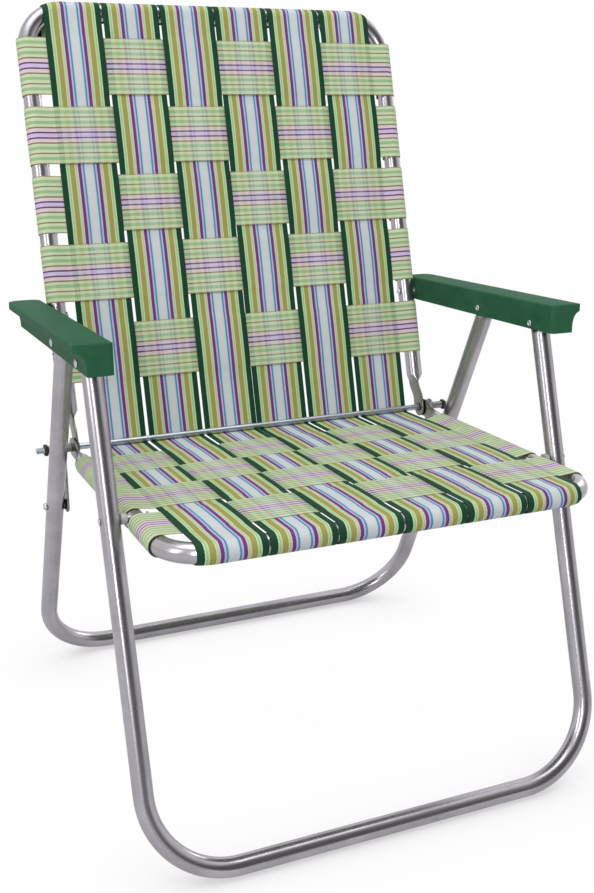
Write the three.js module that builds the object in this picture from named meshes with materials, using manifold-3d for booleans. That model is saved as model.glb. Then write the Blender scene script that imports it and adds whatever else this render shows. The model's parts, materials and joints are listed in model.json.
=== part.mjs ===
import * as THREE from 'three';
import { mergeVertices } from 'three/addons/utils/BufferGeometryUtils.js';
import Module from 'manifold-3d';

// Folding lawn chair of bent aluminium tube, woven webbing and moulded armrests.
// Millimetres. +Z is up, the chair faces -Y, and the origin is on the floor under its middle.
// Left and right are those of someone who looks along +Y: left is -X.

// Tube frames
const tubeDia = 22.2;
const footFlat = 0.4;
const legHalfSpan = 282;
const frontFootY = -311;
const rearFootY = 214;
const frontLegBend = 98;
const rearLegBend = 90;
const seatBend = 48;
const backBend = 50;

// Pivots seen from the side with the chair open, as [y, z], or as a height on a leg
const armFrontPivot = [-108.2, 531.6];
const armRearPivot = [9.8, 523];
const armBackPivot = [178, 509.7];
const rodPivot = [114, 354];
const seatPivotHeight = 375.3;
const seatPivotAboveTube = 5.6;
const seatFrontReach = 117.9;
const backPinBeforeTube = 0.72;
const backTopReach = 386.8;
const linkPinHeight = 280.3;

// How far the rod lies off the tubes' axes, so that seat and back can close on each other
const rodAboveSeat = 9;
const rodBeforeBack = 8.2;

// Tube ends pressed flat round their pivots
const legEndThick = 16;
const legEndWide = 25.2;
const legEndFlat = 7;
const legEndTaper = 8;
const hingeEndThick = 4;
const hingeEndWide = 25;
const hingeEndFlat = 36;
const hingeEndStraight = 14;
const hingeEndTaper = 12;

// Pins, rivets and the rod
const pinDia = 6;
const rodDia = 8;
const pinClearance = 0.3;
const restGap = 0.3;
const rivetHeadDia = 9.6;
const rivetHeadHeight = 2.2;
const pinHeadHeight = 4;
const innerHeadDia = 8;
const innerHeadHeight = 1.5;
const rodEndPastLeg = 8;
const nutSides = 6;
const nutFlats = 13;
const nutHeight = 5;
const nutInsetFromLegSide = 6.7;
const sleeveDia = 14;
const spacerDia = 14;
const washerDia = 17;
const washerThick = 1.6;
const linkThick = 2.8;
const linkWide = 21;
const linkToLeg = 2.5;
const linkToWebbing = 0.8;

// Webbing
const strapThick = 0.9;
const strapCount = 6;
const strapGap = 2.2;
const strapToSideTube = 23.8;
const bandWide = 72.5;
const weaveRise = 1.05;
const strapWrapTurn = 180;
const bandWrapTurn = 180;
const rodWrapTurn = 28;
const topBandFromBar = 72.5;
const bandsAbovePin = 4;
const bandToPinAbove = 16.15;
const bandToPinBelow = 14.95;
const frontBandToSpacer = 0.65;
const rearBandToSpacer = 2.55;
const rearBandGap = 0.4;
const rearBandCount = 3;

// Armrests: an open channel below a wide top
const armSlope = 6;
const armFrontReach = 46;
const armRearReach = 200;
const armAbovePivot = 25;
const armBelowPivot = 9;
const armRearRise = 3;
const armWall = 2.7;
const armTopThick = 4;
const armEndWall = 4;
const armLegGapInside = 0.6;
const armLegGapOutside = 1.1;
const armFlangeThick = 10;
const armFlangeReach = 13;
const armCoveDrop = 10;
const armEdgeRound = 2.5;
const armFrontCorner = 6;
const armRearCorner = 14;
const armRearLip = 14;

// Facets
const tubeSides = 16;
const bendSteps = 8;
const taperSteps = 5;
const stepOverSteps = 3;
const tipSteps = 5;
const tipBlunt = 0.6;
const pressedRoundness = 0.6;
const pinSides = 14;
const domeSteps = 3;
const curveSteps = 4;
const wrapSteps = 8;

const wasm = await Module();
wasm.setup();

// Values that follow from the sizes above
const tubeR = tubeDia / 2;
const legInner = legHalfSpan - tubeR;
const legOuter = legHalfSpan + tubeR;
const linkOuter = legInner - linkToLeg;
const linkInner = linkOuter - linkThick;
const strapBuild = restGap + strapThick;
const hingeSpan = linkInner - linkToWebbing - strapBuild - tubeR;
const strapPitch = (2 * (hingeSpan - strapToSideTube) + strapGap) / strapCount;
const strapWide = strapPitch - strapGap;
const endSpread = (hingeEndThick + restGap) / 2;
const wrapR = tubeR + restGap + strapThick / 2;
const rodWrapR = rodDia / 2 + restGap + strapThick / 2;
const holeDia = pinDia + 2 * pinClearance;
const rodHoleDia = rodDia + 2 * pinClearance;
const armInner = legInner - armLegGapInside - armWall;
const skirtInner = legOuter + armLegGapOutside;
const skirtOuter = skirtInner + armWall;
const armOuter = skirtOuter + armFlangeReach;
const radians = THREE.MathUtils.degToRad;
const lerp = THREE.MathUtils.lerp;

const sidePoint = ([y, z]) => new THREE.Vector2(y, z);
const frontFoot = new THREE.Vector2(frontFootY, tubeR - footFlat);
const rearFoot = new THREE.Vector2(rearFootY, tubeR - footFlat);
const frontTop = sidePoint(armFrontPivot);
const rearTop = sidePoint(armRearPivot);
const rod = sidePoint(rodPivot);
const onLeg = (foot, top, height) => foot.clone().lerp(top, (height - foot.y) / (top.y - foot.y));
const seatPivot = onLeg(frontFoot, frontTop, seatPivotHeight);
const linkPin = onLeg(rearFoot, rearTop, linkPinHeight);
const backPin = sidePoint(armBackPivot);

// Each frame lies in a plane through its bar: along runs from the bar to the pivoted ends.
// out is the normal on the side that turn picks, and the pivot stands pivotOff out from the tubes.
function framePlane(bar, pivot, pivotOff, turn) {
  const direct = pivot.clone().sub(bar);
  const tilt = -turn * Math.asin(pivotOff / direct.length());
  const along = direct.clone().normalize().rotateAround(new THREE.Vector2(), tilt);
  const out = new THREE.Vector2(-along.y, along.x).multiplyScalar(turn);
  return { bar, along, out, length: direct.dot(along), pivotOff };
}
// Plane of tubes that pass a pivot and the rod at set distances, and reach past the pivot to their bar
function tubesPast(pivot, pivotOff, rodOff, reach, turn) {
  const run = framePlane(pivot, rod, rodOff - pivotOff, turn);
  const bar = pivot.clone().addScaledVector(run.out, -pivotOff).addScaledVector(run.along, -reach);
  return framePlane(bar, rod, rodOff, turn);
}
const seatPlane = tubesPast(seatPivot, seatPivotAboveTube, rodAboveSeat, seatFrontReach, 1);
const backPlane = tubesPast(backPin, backPinBeforeTube, rodBeforeBack, backTopReach, -1);

function inPlane(plane, x, s, n) {
  const side = plane.bar.clone().addScaledVector(plane.along, s).addScaledVector(plane.out, n);
  return new THREE.Vector3(x, side.x, side.y);
}

// Keeps only merged positions, drops triangles with no area and turns the faces outward
function closed(source) {
  const plain = new THREE.BufferGeometry();
  plain.setAttribute('position', source.getAttribute('position').clone());
  if (source.index) {
    plain.setIndex(source.index.clone());
  }
  const merged = mergeVertices(plain, 1e-4);
  const place = merged.getAttribute('position');
  const corner = (i) => new THREE.Vector3().fromBufferAttribute(place, i);
  const old = merged.index.array;
  const kept = [];
  let volume = 0;
  for (let i = 0; i < old.length; i += 3) {
    const [a, b, c] = [old[i], old[i + 1], old[i + 2]];
    if (a !== b && b !== c && c !== a) {
      kept.push([a, b, c]);
      volume += corner(a).dot(corner(b).cross(corner(c)));
    }
  }
  merged.setIndex(kept.map((t) => (volume < 0 ? t.toReversed() : t)).flat());
  return merged;
}

function mirrored(geometry) {
  return closed(geometry.clone().scale(-1, 1, 1));
}

function solid(geometry) {
  const body = closed(geometry);
  const vertProperties = new Float32Array(body.getAttribute('position').array);
  const triVerts = new Uint32Array(body.index.array);
  return new wasm.Manifold(new wasm.Mesh({ numProp: 3, vertProperties, triVerts }));
}

function surface(manifold) {
  const mesh = manifold.getMesh();
  const geometry = new THREE.BufferGeometry();
  geometry.setAttribute('position', new THREE.BufferAttribute(mesh.vertProperties, 3));
  geometry.setIndex(new THREE.BufferAttribute(mesh.triVerts, 1));
  return geometry;
}

function cut(geometry, tools) {
  return surface(tools.reduce((body, tool) => body.subtract(solid(tool)), solid(geometry)));
}

// Joins rings of points into one closed skin, with a fan over each end
function loft(rings) {
  const sides = rings[0].length;
  const points = rings.flat();
  const index = [];
  for (let r = 0; r < rings.length - 1; r++) {
    for (let i = 0; i < sides; i++) {
      const a = r * sides + i;
      const b = r * sides + (i + 1) % sides;
      index.push(a, b, a + sides, b, b + sides, a + sides);
    }
  }
  for (const [ring, first] of [[rings[0], 0], [rings.at(-1), (rings.length - 1) * sides]]) {
    const middle = points.length;
    points.push(ring.reduce((sum, p) => sum.add(p), new THREE.Vector3()).divideScalar(sides));
    for (let i = 0; i < sides; i++) {
      const edge = [first + i, first + (i + 1) % sides];
      index.push(middle, ...(first === 0 ? edge.reverse() : edge));
    }
  }
  const geometry = new THREE.BufferGeometry().setFromPoints(points);
  geometry.setIndex(index);
  return closed(geometry);
}

// A tube bent into a U, each end pressed flat and rounded off past its pivot.
// spread shifts the flat ends sideways, so that two frames can share the rod,
// and where the pivot is off the tube's axis the flat end steps over to it.
function bentTube(plane, halfSpan, bend, end) {
  const half = [];
  const quarter = Math.PI / 2;
  for (let i = 0; i <= bendSteps; i++) {
    const turn = quarter * i / bendSteps;
    const x = halfSpan - bend * (1 - Math.sin(turn));
    half.push({ x, s: bend * (1 - Math.cos(turn)), turn, press: 0, rest: 1 });
  }
  const flatFrom = plane.length - end.flat;
  const onPivot = plane.length - end.straight;
  for (let i = 0; i <= taperSteps; i++) {
    const k = i / taperSteps;
    const press = THREE.MathUtils.smoothstep(k, 0, 1);
    const s = flatFrom - end.taper * (1 - k);
    half.push({ x: halfSpan + end.spread * press, s, turn: quarter, press, rest: 1 });
  }
  const flat = { x: halfSpan + end.spread, turn: quarter, press: 1 };
  for (let i = 1; plane.pivotOff && i <= stepOverSteps; i++) {
    half.push({ ...flat, s: lerp(flatFrom, onPivot, i / stepOverSteps), rest: 1 });
  }
  for (let i = 0; i < tipSteps; i++) {
    const tip = quarter * i / (tipSteps - tipBlunt);
    half.push({ ...flat, s: plane.length + end.wide / 2 * Math.sin(tip), rest: Math.cos(tip) });
  }
  const left = half.map((p) => ({ ...p, x: -p.x, turn: -p.turn })).reverse();
  const rings = [...left, ...half].map((p) => {
    const halfThick = lerp(tubeR, end.thick / 2, p.press);
    const halfWide = lerp(tubeR, end.wide / 2, p.press) * p.rest;
    const roundness = lerp(1, pressedRoundness, p.press);
    const stepOver = plane.pivotOff * THREE.MathUtils.smoothstep(p.s, flatFrom, onPivot);
    return Array.from({ length: tubeSides }, (_, i) => {
      const angle = 2 * Math.PI * (i + 0.5) / tubeSides;
      const across = halfThick * rounded(Math.cos(angle), roundness);
      const out = halfWide * rounded(Math.sin(angle), roundness);
      const x = p.x + across * Math.sin(p.turn);
      const s = p.s - across * Math.cos(p.turn);
      return inPlane(plane, x, s, out + stepOver);
    });
  });
  return loft(rings);
}

// A signed power: 1 leaves a circle, and less squares it off
function rounded(value, roundness) {
  return Math.sign(value) * Math.abs(value) ** roundness;
}

function crossPin(point, dia, fromX, toX) {
  const geometry = new THREE.CylinderGeometry(dia / 2, dia / 2, toX - fromX, pinSides);
  geometry.rotateZ(Math.PI / 2);
  geometry.translate((fromX + toX) / 2, point.x, point.y);
  return geometry;
}

// The same hole through the left and the right tube
function holePair(point, dia, halfSpan) {
  const reach = 2 * tubeDia;
  const right = crossPin(point, dia, halfSpan - reach, halfSpan + reach);
  return [right, mirrored(right)];
}

// Leg frame: its floor bar is worn flat underneath
function legFrame(foot, top, bend, pivots) {
  const end = {
    thick: legEndThick, wide: legEndWide, flat: legEndFlat, straight: legEndFlat,
    taper: legEndTaper, spread: 0,
  };
  const frame = bentTube(framePlane(foot, top, 0, 1), legHalfSpan, bend, end);
  const floor = new THREE.BoxGeometry(4 * legHalfSpan, 4 * tubeDia, tubeDia);
  floor.translate(0, foot.x, -tubeR);
  return cut(frame, [floor, ...pivots.flatMap((p) => holePair(p, holeDia, legHalfSpan))]);
}

function hingedFrame(plane, bend, spread, pivot) {
  const end = {
    thick: hingeEndThick, wide: hingeEndWide, flat: hingeEndFlat, straight: hingeEndStraight,
    taper: hingeEndTaper, spread,
  };
  const holes = [...holePair(rod, rodHoleDia, hingeSpan), ...holePair(pivot, holeDia, hingeSpan)];
  return cut(bentTube(plane, hingeSpan, bend, end), holes);
}

// A turned piece on a pivot: profile points are [x, radius]
function turned(point, profile) {
  const geometry = new THREE.LatheGeometry(profile.map(([x, r]) => new THREE.Vector2(r, x)), pinSides);
  geometry.rotateZ(-Math.PI / 2);
  geometry.translate(0, point.x, point.y);
  return closed(geometry);
}

function collar(point, dia, bore, fromX, toX) {
  const [inside, outside] = [bore / 2, dia / 2];
  const corners = [[fromX, inside], [fromX, outside], [toX, outside], [toX, inside], [fromX, inside]];
  return turned(point, corners);
}

// Dome profile from a flat seat at x to the axis; height is negative for a head that faces inward
function dome(x, height, dia = rivetHeadDia) {
  const r = dia / 2;
  const points = Array.from({ length: domeSteps + 1 }, (_, i) => {
    const a = Math.PI / 2 * i / domeSteps;
    return [x + height * (0.25 + 0.75 * Math.sin(a)), r * Math.cos(a)];
  });
  return [[x, r], ...points.slice(0, -1), [x + height, 0]];
}

// Shank with a dome at both ends, seated on faces at fromX and toX
function rivet(point, fromX, toX, innerHeight, innerDia) {
  const inner = dome(fromX - restGap, -innerHeight, innerDia).reverse();
  const outer = dome(toX + restGap, rivetHeadHeight);
  const shank = pinDia / 2;
  return turned(point, [...inner, [fromX - restGap, shank], [toX + restGap, shank], ...outer]);
}

// Half rivet: a dome with a short stub in one wall, which leaves the channel behind the wall clear
function stubRivet(point, seatX, stubX, height, dia) {
  const seat = seatX + Math.sign(height) * restGap;
  const shank = pinDia / 2;
  return turned(point, [[stubX, 0], [stubX, shank], [seat, shank], ...dome(seat, height, dia)]);
}

function linkPinShape() {
  const [from, seat] = [linkInner - restGap, legOuter + restGap];
  const shank = pinDia / 2;
  return turned(linkPin, [[from, 0], [from, shank], [seat, shank], ...dome(seat, pinHeadHeight)]);
}

// Shoulder rivet through the back tube, whose collar stands just clear of the armrest
function backRivetShape() {
  const inner = dome(hingeSpan - tubeR - restGap, -rivetHeadHeight).reverse();
  const shank = pinDia / 2;
  const shoulder = rivetHeadDia / 2;
  const [from, seat] = [hingeSpan - tubeR - restGap, hingeSpan + tubeR + restGap];
  const end = armInner - restGap;
  const outer = [[seat, shoulder], [end, shoulder], [end, 0]];
  return turned(backPin, [...inner, [from, shank], [seat, shank], ...outer]);
}

// Turns a shape drawn in side view, x as Y and y as Z, into a plate from fromX outward
function sidePlate(shape, fromX, thick) {
  const settings = { depth: thick, bevelEnabled: false, curveSegments: 2 * curveSteps };
  const geometry = new THREE.ExtrudeGeometry(shape, settings);
  geometry.applyMatrix4(new THREE.Matrix4().set(0, 0, 1, fromX, 1, 0, 0, 0, 0, 1, 0, 0, 0, 0, 0, 1));
  return closed(geometry);
}

function linkShape() {
  const direction = rod.clone().sub(linkPin).angle();
  const shape = new THREE.Shape();
  shape.absarc(rod.x, rod.y, linkWide / 2, direction - Math.PI / 2, direction + Math.PI / 2);
  shape.absarc(linkPin.x, linkPin.y, linkWide / 2, direction + Math.PI / 2, direction + 1.5 * Math.PI);
  shape.closePath();
  for (const [point, dia] of [[rod, rodHoleDia], [linkPin, holeDia]]) {
    shape.holes.push(new THREE.Path().absarc(point.x, point.y, dia / 2, 0, 2 * Math.PI));
  }
  return sidePlate(shape, linkInner, linkThick);
}

function nutShape(fromX) {
  const turn = 2 * Math.PI / nutSides;
  const corner = new THREE.Vector2(nutFlats / 2 / Math.cos(turn / 2), 0).add(rod);
  const corners = Array.from({ length: nutSides }, (_, i) => corner.clone().rotateAround(rod, turn * i));
  const shape = new THREE.Shape(corners);
  shape.holes.push(new THREE.Path().absarc(rod.x, rod.y, rodHoleDia / 2, 0, 2 * Math.PI));
  return sidePlate(shape, fromX, nutHeight);
}

// The armrest's own frame: X as on the chair, Y back along the arm, Z up from the line of its pivots
const armMiddle = frontTop.clone().lerp(rearTop, 0.5);
const armTurn = -radians(armSlope);
const onArm = (point) => point.clone().sub(armMiddle).rotateAround(new THREE.Vector2(), -armTurn);
const armStart = onArm(frontTop).x - armFrontReach;
const armStop = onArm(rearTop).x + armRearReach;

function armSection() {
  const shape = new THREE.Shape();
  const [top, bottom, round] = [armAbovePivot, -armBelowPivot, armEdgeRound];
  const under = top - armFlangeThick;
  shape.moveTo(armInner, bottom);
  shape.lineTo(armInner, top - round);
  shape.quadraticCurveTo(armInner, top, armInner + round, top);
  shape.lineTo(armOuter - round, top);
  shape.quadraticCurveTo(armOuter, top, armOuter, top - round);
  shape.lineTo(armOuter, under);
  shape.quadraticCurveTo(skirtOuter, under, skirtOuter, under - armCoveDrop);
  shape.lineTo(skirtOuter, bottom);
  shape.closePath();
  const depth = armStop - armStart;
  const settings = { depth, bevelEnabled: false, curveSegments: curveSteps };
  const geometry = new THREE.ExtrudeGeometry(shape, settings);
  geometry.rotateX(Math.PI / 2);
  geometry.translate(0, armStop, 0);
  return geometry;
}

function armPlan() {
  const shape = new THREE.Shape();
  const [front, rear] = [armFrontCorner, armRearCorner];
  shape.moveTo(armInner + front, armStart);
  shape.lineTo(armOuter - front, armStart);
  shape.quadraticCurveTo(armOuter, armStart, armOuter, armStart + front);
  shape.lineTo(armOuter, armStop - rear);
  shape.quadraticCurveTo(armOuter, armStop, armOuter - rear, armStop);
  shape.lineTo(armInner + rear, armStop);
  shape.quadraticCurveTo(armInner, armStop, armInner, armStop - rear);
  shape.lineTo(armInner, armStart + front);
  shape.quadraticCurveTo(armInner, armStart, armInner + front, armStart);
  const depth = 2 * (armAbovePivot + armBelowPivot);
  const settings = { depth, bevelEnabled: false, curveSegments: curveSteps };
  const geometry = new THREE.ExtrudeGeometry(shape, settings);
  geometry.translate(0, 0, -depth / 2);
  return geometry;
}

// Side view of the armrest: the underside rises to the rear, and the flange runs on past the skirt
function armProfile() {
  const shape = new THREE.Shape();
  const under = armAbovePivot - armFlangeThick;
  shape.moveTo(armStart, -armBelowPivot);
  shape.lineTo(armStop - armRearLip, armRearRise - armBelowPivot);
  shape.lineTo(armStop - armRearLip, under);
  shape.lineTo(armStop, under);
  shape.lineTo(armStop, armAbovePivot - armEdgeRound);
  shape.quadraticCurveTo(armStop, armAbovePivot, armStop - armEdgeRound, armAbovePivot);
  shape.lineTo(armStart + armEdgeRound, armAbovePivot);
  shape.quadraticCurveTo(armStart, armAbovePivot, armStart, armAbovePivot - armEdgeRound);
  shape.closePath();
  return sidePlate(shape, armInner - armWall, armOuter - armInner + 2 * armWall);
}

function armChannel() {
  const from = armStart + armEndWall;
  const to = armStop - armRearLip - armEndWall;
  const [bottom, top] = [-2 * armBelowPivot, armAbovePivot - armTopThick];
  const inside = armInner + armWall;
  const geometry = new THREE.BoxGeometry(skirtInner - inside, to - from, top - bottom);
  geometry.translate((skirtInner + inside) / 2, (from + to) / 2, (top + bottom) / 2);
  return geometry;
}

function armShape() {
  const block = solid(armSection()).intersect(solid(armPlan())).intersect(solid(armProfile()));
  const holes = [frontTop, rearTop].map((p) => crossPin(onArm(p), holeDia, armInner - armWall, armOuter));
  const arm = cut(surface(block), [armChannel(), ...holes]);
  arm.rotateX(armTurn);
  arm.translate(0, armMiddle.x, armMiddle.y);
  return arm;
}

// Webbing: a flat strip swept along a path of [run, height] points.
// place turns a run, a height and a distance to the side into a point on the chair.
function strip(path, wide, place) {
  const points = path.map(([run, height]) => new THREE.Vector2(run, height));
  const rings = points.map((p, i) => {
    const before = points[Math.max(i - 1, 0)];
    const after = points[Math.min(i + 1, points.length - 1)];
    const step = after.clone().sub(before).normalize();
    const up = new THREE.Vector2(-step.y, step.x).multiplyScalar(strapThick / 2);
    const [high, low] = [p.clone().add(up), p.clone().sub(up)];
    const corners = [[high, 0.5], [high, -0.5], [low, -0.5], [low, 0.5]];
    return corners.map(([q, side]) => place(q.x, q.y, side * wide));
  });
  return loft(rings);
}

// Arc of points round a tube at run = centre, from the back of the tube over to its front
function wrapArc(centre, radius, fromDeg, toDeg, way) {
  return Array.from({ length: wrapSteps + 1 }, (_, i) => {
    const angle = radians(lerp(fromDeg, toDeg, i / wrapSteps));
    return [centre + way * radius * Math.sin(angle), radius * Math.cos(angle)];
  });
}

// Rows of cross bands, as distances from the bar of each frame; they keep clear of the pivots
const bandOverPin = backTopReach - bandToPinAbove - bandWide / 2;
const backRows = Array.from({ length: bandsAbovePin }, (_, i) => {
  return lerp(topBandFromBar, bandOverPin, i / (bandsAbovePin - 1));
});
backRows.push(backTopReach + bandToPinBelow + bandWide / 2);
const bandFromSpacer = (spacerDia + bandWide) / 2;
const seatRows = [seatFrontReach - bandFromSpacer - frontBandToSpacer];
for (let i = 0; i < rearBandCount; i++) {
  seatRows.push(seatFrontReach + bandFromSpacer + rearBandToSpacer + i * (bandWide + rearBandGap));
}
const strapX = (column) => (column - (strapCount - 1) / 2) * strapPitch;

// Height of the woven sheet above the tube axes: on the tubes at the bar, and behind the rod at the hinge
function sheetHeight(plane, s) {
  return lerp(wrapR, plane.pivotOff - rodWrapR, s / plane.length);
}

// Lengthwise strap: round the bar, over and under the bands, then partly round the rod
function strapPath(plane, rows, isOver) {
  const path = wrapArc(0, wrapR, strapWrapTurn, 0, -1);
  path.push([tubeDia, wrapR]);
  rows.forEach((row, i) => {
    const rise = isOver(i) ? weaveRise : -weaveRise;
    for (const s of [row - bandWide / 2, row + bandWide / 2]) {
      path.push([s, sheetHeight(plane, s) + rise]);
    }
  });
  for (const turn of [0, rodWrapTurn / 2, rodWrapTurn]) {
    const angle = radians(turn);
    path.push([plane.length + rodWrapR * Math.sin(angle), plane.pivotOff - rodWrapR * Math.cos(angle)]);
  }
  return path;
}

// Cross band: round both side tubes, and under or over each strap
function bandPath(plane, row, isOver) {
  const middle = [];
  for (let column = 0; column < strapCount; column++) {
    const rise = isOver(column) ? weaveRise : -weaveRise;
    for (const x of [strapX(column) - strapWide / 2, strapX(column) + strapWide / 2]) {
      middle.push([x, sheetHeight(plane, row) + rise]);
    }
  }
  const left = wrapArc(-hingeSpan, wrapR, bandWrapTurn, -leaveTurn(middle[0]), -1);
  const right = wrapArc(hingeSpan, wrapR, -leaveTurn(middle.at(-1)), bandWrapTurn, 1);
  return [...left, ...middle, ...right];
}

// Degrees past the front of a side tube at which a band leaves it for the nearest strap
function leaveTurn([x, height]) {
  const run = hingeSpan - Math.abs(x);
  const lean = Math.atan2(run, height) - Math.acos(wrapR / Math.hypot(run, height));
  return THREE.MathUtils.radToDeg(lean);
}

const aluminium = { color: 0xc9c7cf, roughness: 0.28, metalness: 1 };
const steel = { color: 0x8d93a0, roughness: 0.35, metalness: 1 };
const blackPart = { color: 0x17171a, roughness: 0.5, metalness: 0.2 };
const greenPlastic = { color: 0x305c42, roughness: 0.45, metalness: 0 };
const stripedWeb = { color: 0x8f86b8, roughness: 0.85, metalness: 0 };
const paleWeb = { color: 0xc9cfa0, roughness: 0.85, metalness: 0 };

const chair = new THREE.Group();

function add(name, geometry, look) {
  const shown = closed(geometry);
  shown.computeVertexNormals();
  const mesh = new THREE.Mesh(shown, new THREE.MeshStandardMaterial(look));
  mesh.name = name;
  chair.add(mesh);
}

function addPair(name, geometry, look) {
  add(`${name}_left`, mirrored(geometry), look);
  add(`${name}_right`, geometry, look);
}

// Frames
add('front_leg_frame', legFrame(frontFoot, frontTop, frontLegBend, [frontTop, seatPivot]), aluminium);
add('rear_leg_frame', legFrame(rearFoot, rearTop, rearLegBend, [rearTop, linkPin]), aluminium);
add('seat_frame', hingedFrame(seatPlane, seatBend, endSpread, seatPivot), aluminium);
add('back_frame', hingedFrame(backPlane, backBend, -endSpread, backPin), aluminium);

// Hinge rod and what is threaded on it, from the inside out
const hingeEdge = endSpread + hingeEndThick / 2;
const nutInner = legOuter - nutInsetFromLegSide;
const rodTip = legOuter + rodEndPastLeg;
add('hinge_rod', crossPin(rod, rodDia, -rodTip, rodTip), steel);
const washerEnd = hingeSpan - hingeEdge - restGap;
addPair('rod_washer', collar(rod, washerDia, rodHoleDia, washerEnd - washerThick, washerEnd), blackPart);
const spacerStart = hingeSpan + hingeEdge + restGap;
addPair('rod_spacer', collar(rod, spacerDia, rodHoleDia, spacerStart, linkInner - restGap), blackPart);
addPair('hinge_link', linkShape(), aluminium);
const sleeveEnds = [linkOuter + restGap, nutInner - restGap];
addPair('rod_sleeve', collar(rod, sleeveDia, rodHoleDia, ...sleeveEnds), aluminium);
addPair('rod_nut', nutShape(nutInner), blackPart);

// Pivots of the links, the seat and the back
addPair('link_pin', linkPinShape(), aluminium);
const bushEnds = [linkOuter + restGap, legInner - restGap];
addPair('link_bush', collar(linkPin, spacerDia, holeDia, ...bushEnds), blackPart);
const seatRivet = rivet(seatPivot, hingeSpan - tubeR, legOuter, rivetHeadHeight, rivetHeadDia);
addPair('seat_rivet', seatRivet, aluminium);
const seatSideGap = [hingeSpan + tubeR + restGap, legInner - restGap];
addPair('seat_spacer', collar(seatPivot, spacerDia, holeDia, ...seatSideGap), blackPart);
addPair('back_rivet', backRivetShape(), aluminium);

// Armrests and their rivets
addPair('armrest', armShape(), greenPlastic);
const frontRivet = rivet(frontTop, armInner, skirtOuter, innerHeadHeight, innerHeadDia);
addPair('arm_front_rivet', frontRivet, aluminium);
const outerStub = stubRivet(rearTop, skirtOuter, skirtInner, rivetHeadHeight, rivetHeadDia);
addPair('arm_rear_rivet_outer', outerStub, aluminium);
const innerStub = stubRivet(rearTop, armInner, armInner + armWall, -innerHeadHeight, innerHeadDia);
addPair('arm_rear_rivet_inner', innerStub, aluminium);

// Webbing
const strapOver = (column, row) => (column + row) % 2 === 0;
for (const [side, plane, rows] of [['back', backPlane, backRows], ['seat', seatPlane, seatRows]]) {
  for (let column = 0; column < strapCount; column++) {
    const path = strapPath(plane, rows, (row) => strapOver(column, row));
    const place = (s, n, across) => inPlane(plane, strapX(column) + across, s, n);
    add(`${side}_strap_${column + 1}`, strip(path, strapWide, place), stripedWeb);
  }
  rows.forEach((row, i) => {
    const path = bandPath(plane, row, (column) => !strapOver(column, i));
    const place = (x, n, across) => inPlane(plane, x, row + across, n);
    add(`${side}_band_${i + 1}`, strip(path, bandWide, place), paleWeb);
  });
}

export default chair;
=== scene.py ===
import json
import math

import bmesh
import bpy
from mathutils import Matrix, Vector


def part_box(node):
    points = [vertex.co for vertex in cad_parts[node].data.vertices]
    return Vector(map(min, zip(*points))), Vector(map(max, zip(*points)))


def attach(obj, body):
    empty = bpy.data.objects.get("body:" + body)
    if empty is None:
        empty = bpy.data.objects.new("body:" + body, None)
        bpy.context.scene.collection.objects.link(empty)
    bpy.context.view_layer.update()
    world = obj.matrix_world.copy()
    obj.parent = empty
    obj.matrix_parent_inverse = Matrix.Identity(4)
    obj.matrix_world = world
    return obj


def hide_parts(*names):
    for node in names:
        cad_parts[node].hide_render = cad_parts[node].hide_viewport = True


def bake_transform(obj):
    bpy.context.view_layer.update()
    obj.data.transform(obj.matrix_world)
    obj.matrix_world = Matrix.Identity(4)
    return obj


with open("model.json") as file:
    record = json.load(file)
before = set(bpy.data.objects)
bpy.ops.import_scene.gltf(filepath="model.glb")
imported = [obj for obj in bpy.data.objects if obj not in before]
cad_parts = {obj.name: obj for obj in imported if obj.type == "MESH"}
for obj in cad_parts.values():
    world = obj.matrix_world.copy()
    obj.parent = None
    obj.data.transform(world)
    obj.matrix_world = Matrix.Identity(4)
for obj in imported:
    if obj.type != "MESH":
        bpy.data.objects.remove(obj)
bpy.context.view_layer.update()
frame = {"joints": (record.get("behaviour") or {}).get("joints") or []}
scene = bpy.context.scene
scene.view_settings.view_transform = "Standard"
mm = 0.001


def addObject(name, data):
    item = bpy.data.objects.new(name, data)
    scene.collection.objects.link(item)
    return item


# camera where the photograph was taken from; focal is in pixels, for a picture this high
photoView = {"place": (-0.561, -1.2589, 0.8795), "yaw": 24.3, "pitch": 20.5, "roll": 1.8,
             "focal": 1156.1, "imageHigh": 893, "sensor": 36.0, "farthest": 50}


def makeCamera():
    yaw, pitch, roll = (math.radians(photoView[k]) for k in ("yaw", "pitch", "roll"))
    forward = Vector((math.sin(yaw) * math.cos(pitch), math.cos(yaw) * math.cos(pitch), -math.sin(pitch)))
    level = Vector((math.cos(yaw), -math.sin(yaw), 0))
    upright = level.cross(forward)
    right = level * math.cos(roll) + upright * math.sin(roll)
    up = upright * math.cos(roll) - level * math.sin(roll)
    data = bpy.data.cameras.new("photoCamera")
    data.sensor_width = photoView["sensor"]
    data.lens = photoView["focal"] / photoView["imageHigh"] * photoView["sensor"]
    data.clip_end = photoView["farthest"]
    camera = addObject("photoCamera", data)
    turn = Matrix((right, up, -forward)).transposed().to_4x4()
    camera.matrix_world = Matrix.Translation(photoView["place"]) @ turn
    scene.camera = camera


makeCamera()
print("camera set")

# sizes of the chair in millimetres, as the solids have them; side points are (y, z)
chair = {"tubeR": 11.1, "hingeSpan": 252.5, "gap": 0.3, "armWall": 2.7, "armGapIn": 0.6, "armGapOut": 1.1,
         "frontFoot": (-311, 10.7), "rearFoot": (214, 10.7), "seatBar": (-287, 380),
         "backBar": (309.7, 873.4), "rodAboveSeat": 9.0, "rodBeforeBack": 8.2}
hingePlace = {joint["name"]: Vector([c / mm for c in joint["pos_m"]]) for joint in frame["joints"]}


def nodeMiddle(node):
    low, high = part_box(node)
    return (low + high) / 2 / mm


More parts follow.
